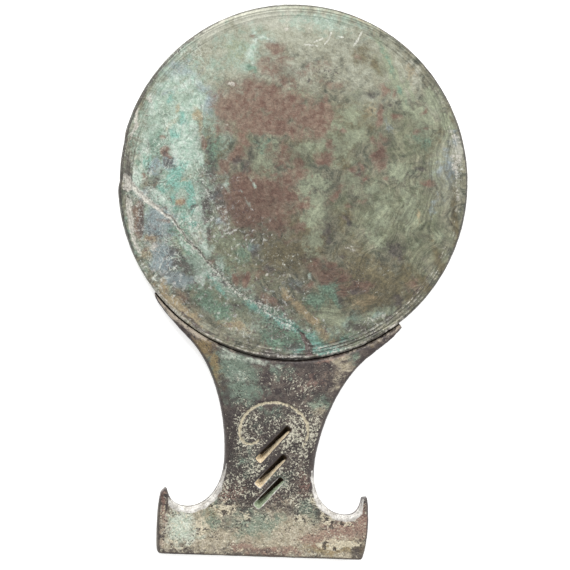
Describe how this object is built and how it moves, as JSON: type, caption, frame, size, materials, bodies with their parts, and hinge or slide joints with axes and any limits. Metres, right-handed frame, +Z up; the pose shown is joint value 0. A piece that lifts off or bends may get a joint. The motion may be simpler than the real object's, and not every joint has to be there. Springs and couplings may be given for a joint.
{
  "type": "bronze mirror",
  "caption": "Flat round bronze hand mirror on a cast plate handle with a crescent head, narrow waist and horned base bar, lying on its back.",
  "frame": {"origin": "under the middle of the object's box, on the surface that the handle's back lies on", "axes": "+Z up out of the mirror's face, +Y along the mirror from the base bar to the top of the disc, +X to the right when the face is seen with the disc at the top"},
  "size_m": [0.1748, 0.2798, 0.009],
  "materials": {
    "disc": "matt grey-green patina with cuprite red and malachite patches",
    "handle": "rough brown and green corroded patina"
  },
  "bodies": {
    "root": {"disc": "disc", "handle": "handle"}
  },
  "joints": []
}
